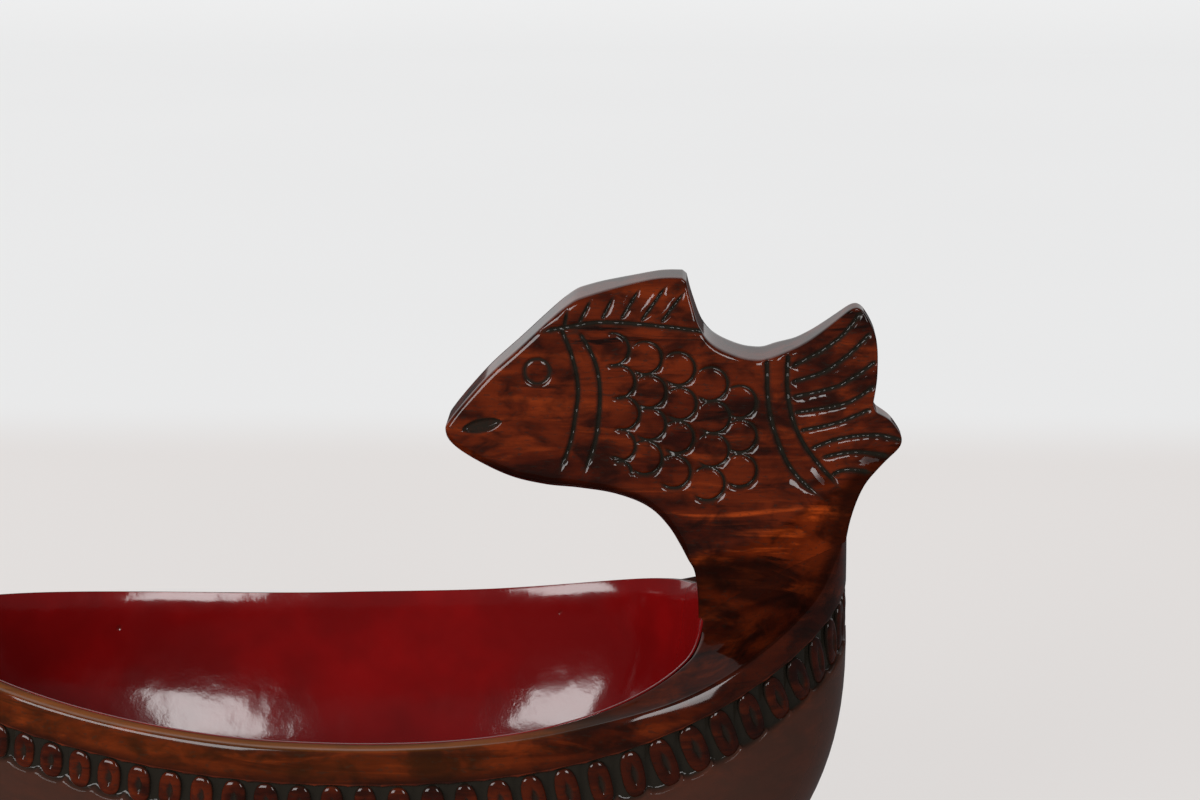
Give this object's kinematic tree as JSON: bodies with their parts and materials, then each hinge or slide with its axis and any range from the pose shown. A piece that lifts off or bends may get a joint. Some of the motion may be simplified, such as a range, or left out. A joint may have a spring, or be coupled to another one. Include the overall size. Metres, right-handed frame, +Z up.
{
  "type": "fish-shaped wooden dish",
  "caption": "Carved wooden serving dish with a red-lacquered hollow, a beaded rim band and a carved fish standing on one end as a handle.",
  "frame": {"origin": "centre of the flat foot, on the table", "axes": "+X along the dish towards the end with the fish, +Z up; the dish is the same on both sides of the X-Z plane"},
  "size_m": [0.3118, 0.151, 0.2121],
  "materials": {
    "dark_wood": "dark varnish, gloss",
    "red_lacquer": "brushed red lacquer, high gloss",
    "red_brown_wood": "red-brown varnish, gloss"
  },
  "bodies": {
    "root": {"bowl_body": "dark_wood", "lacquer_lining": "red_lacquer", "fish_handle": "red_brown_wood"}
  },
  "joints": []
}
